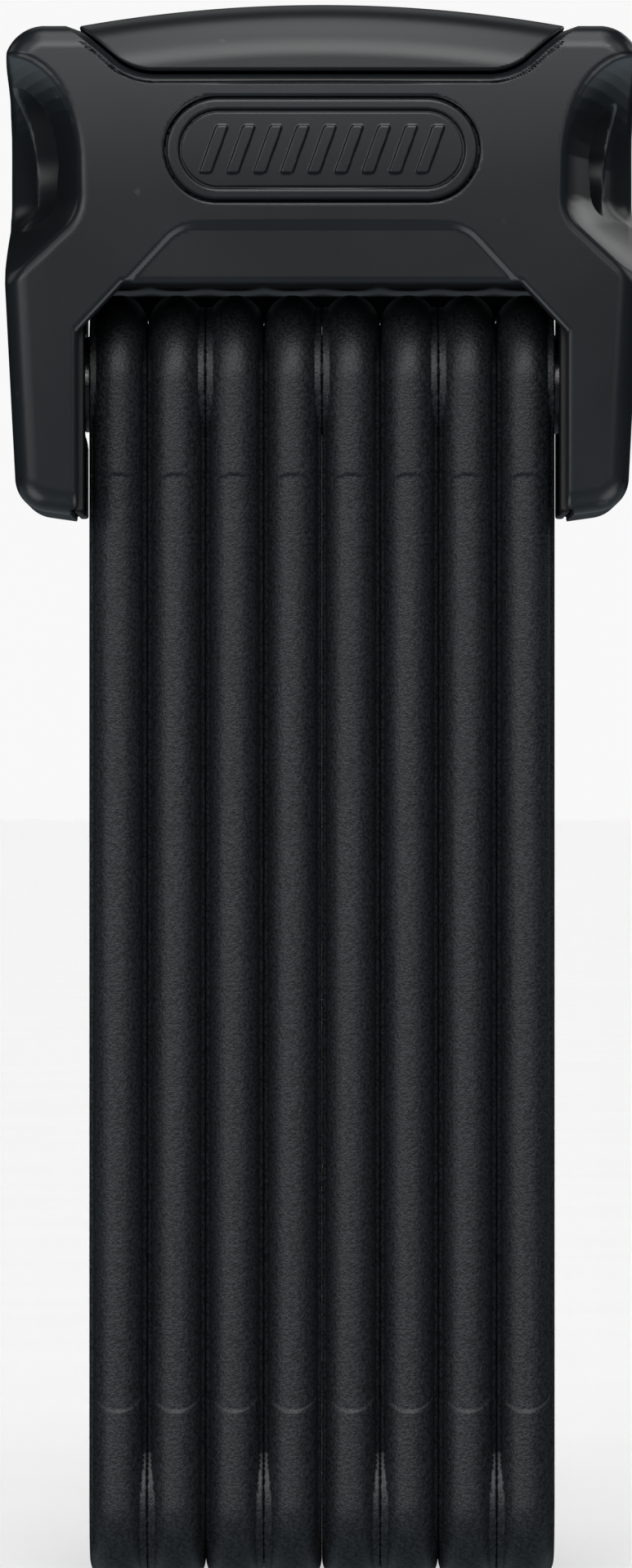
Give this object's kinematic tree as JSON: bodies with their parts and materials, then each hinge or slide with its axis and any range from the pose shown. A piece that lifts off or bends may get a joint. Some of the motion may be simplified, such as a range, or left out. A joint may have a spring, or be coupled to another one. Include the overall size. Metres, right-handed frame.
{
  "type": "folding bike lock",
  "caption": "Folding bicycle lock: riveted, jacketed steel bars folded flat between the legs of a keyed, black lock body.",
  "frame": {"origin": "bottom centre of the bounding box of the folded lock: under the middle of the pack of bars", "axes": "+X across the pack, towards the leg that the chain is riveted to; +Y towards the back, where the bars swing out; +Z along the folded bars, towards the lock body"},
  "size_m": [0.0848, 0.04, 0.2123],
  "materials": {
    "housing_black": "satin moulded",
    "jacket_black": "fine-grained soft-touch",
    "liner_black": "matt moulded",
    "hardened_steel": "plated, brushed",
    "cylinder_brass": "machined"
  },
  "bodies": {
    "lock_body": {"housing": "housing_black", "top_cover": "housing_black", "front_badge": "housing_black", "badge_inlay": "housing_black", "left_leg_liner": "liner_black", "right_leg_liner": "liner_black", "stud_seat": "hardened_steel", "pivot_bracket": "hardened_steel", "case_front": "hardened_steel", "case_rear": "hardened_steel", "case_screw_1": "hardened_steel", "case_screw_2": "hardened_steel", "case_screw_3": "hardened_steel", "case_screw_4": "hardened_steel", "spring_post": "hardened_steel", "bolt_spring": "hardened_steel", "cylinder_housing": "hardened_steel", "side_plug": "liner_black", "body_pivot_pin": "hardened_steel", "body_pivot_washer": "hardened_steel"},
    "key_plug": {"cylinder_plug": "cylinder_brass", "code_disc_1": "cylinder_brass", "code_disc_2": "cylinder_brass", "code_disc_3": "cylinder_brass", "code_disc_4": "cylinder_brass", "code_disc_5": "cylinder_brass", "cylinder_driver": "hardened_steel"},
    "bolt": {"locking_bolt": "hardened_steel"},
    "dust_cover": {"keyhole_cover": "liner_black"},
    "bar_1": {"bar_1_core": "hardened_steel", "bar_1_jacket": "jacket_black", "closing_stud": "hardened_steel"},
    "bar_2": {"bar_2_core": "hardened_steel", "bar_2_jacket": "jacket_black", "rivet_1_2": "hardened_steel", "washer_1_2": "hardened_steel"},
    "bar_3": {"bar_3_core": "hardened_steel", "bar_3_jacket": "jacket_black", "rivet_2_3": "hardened_steel", "washer_2_3": "hardened_steel"},
    "bar_4": {"bar_4_core": "hardened_steel", "bar_4_jacket": "jacket_black", "rivet_3_4": "hardened_steel", "washer_3_4": "hardened_steel"},
    "bar_5": {"bar_5_core": "hardened_steel", "bar_5_jacket": "jacket_black", "rivet_4_5": "hardened_steel", "washer_4_5": "hardened_steel"},
    "bar_6": {"bar_6_core": "hardened_steel", "bar_6_jacket": "jacket_black", "rivet_5_6": "hardened_steel", "washer_5_6": "hardened_steel"},
    "bar_7": {"bar_7_core": "hardened_steel", "bar_7_jacket": "jacket_black", "rivet_6_7": "hardened_steel", "washer_6_7": "hardened_steel"},
    "bar_8": {"bar_8_core": "hardened_steel", "bar_8_jacket": "jacket_black", "rivet_7_8": "hardened_steel", "washer_7_8": "hardened_steel"}
  },
  "joints": [
    {"name": "body_hinge", "type": "hinge", "parent": "lock_body", "child": "bar_8", "pos_m": [0.0273, 0, 0.162], "axis": [1, 0, 0], "range_deg": [-80, 80]},
    {"name": "hinge_7_8", "type": "hinge", "parent": "bar_8", "child": "bar_7", "pos_m": [0.0195, 0, 0.012], "axis": [-1, 0, 0], "range_deg": [0, 180]},
    {"name": "hinge_6_7", "type": "hinge", "parent": "bar_7", "child": "bar_6", "pos_m": [0.0117, 0, 0.162], "axis": [-1, 0, 0], "range_deg": [-80, 80]},
    {"name": "hinge_5_6", "type": "hinge", "parent": "bar_6", "child": "bar_5", "pos_m": [0.0039, 0, 0.012], "axis": [-1, 0, 0], "range_deg": [0, 180]},
    {"name": "hinge_4_5", "type": "hinge", "parent": "bar_5", "child": "bar_4", "pos_m": [-0.0039, 0, 0.162], "axis": [1, 0, 0], "range_deg": [-80, 80]},
    {"name": "hinge_3_4", "type": "hinge", "parent": "bar_4", "child": "bar_3", "pos_m": [-0.0117, 0, 0.012], "axis": [-1, 0, 0], "range_deg": [0, 180]},
    {"name": "hinge_2_3", "type": "hinge", "parent": "bar_3", "child": "bar_2", "pos_m": [-0.0195, 0, 0.162], "axis": [-1, 0, 0], "range_deg": [-80, 80]},
    {"name": "hinge_1_2", "type": "hinge", "parent": "bar_2", "child": "bar_1", "pos_m": [-0.0273, 0, 0.012], "axis": [-1, 0, 0], "range_deg": [0, 180]},
    {"name": "key_turn", "type": "hinge", "parent": "lock_body", "child": "key_plug", "pos_m": [-0.0313, 0, 0.1923], "axis": [-1, 0, 0], "range_deg": [0, 90]},
    {"name": "bolt_slide", "type": "slide", "parent": "lock_body", "child": "bolt", "axis": [0, 0, -1], "range_m": [0, 0.0032], "deforming": ["bolt_spring"]},
    {"name": "dust_cover_turn", "type": "hinge", "parent": "lock_body", "child": "dust_cover", "pos_m": [-0.033, 0, 0.1923], "axis": [-1, 0, 0], "range_deg": [0, 90]}
  ],
  "couplings": [
    {"joint": "bolt_slide", "follows": "key_turn", "m_per_rad": 0.002037}
  ]
}
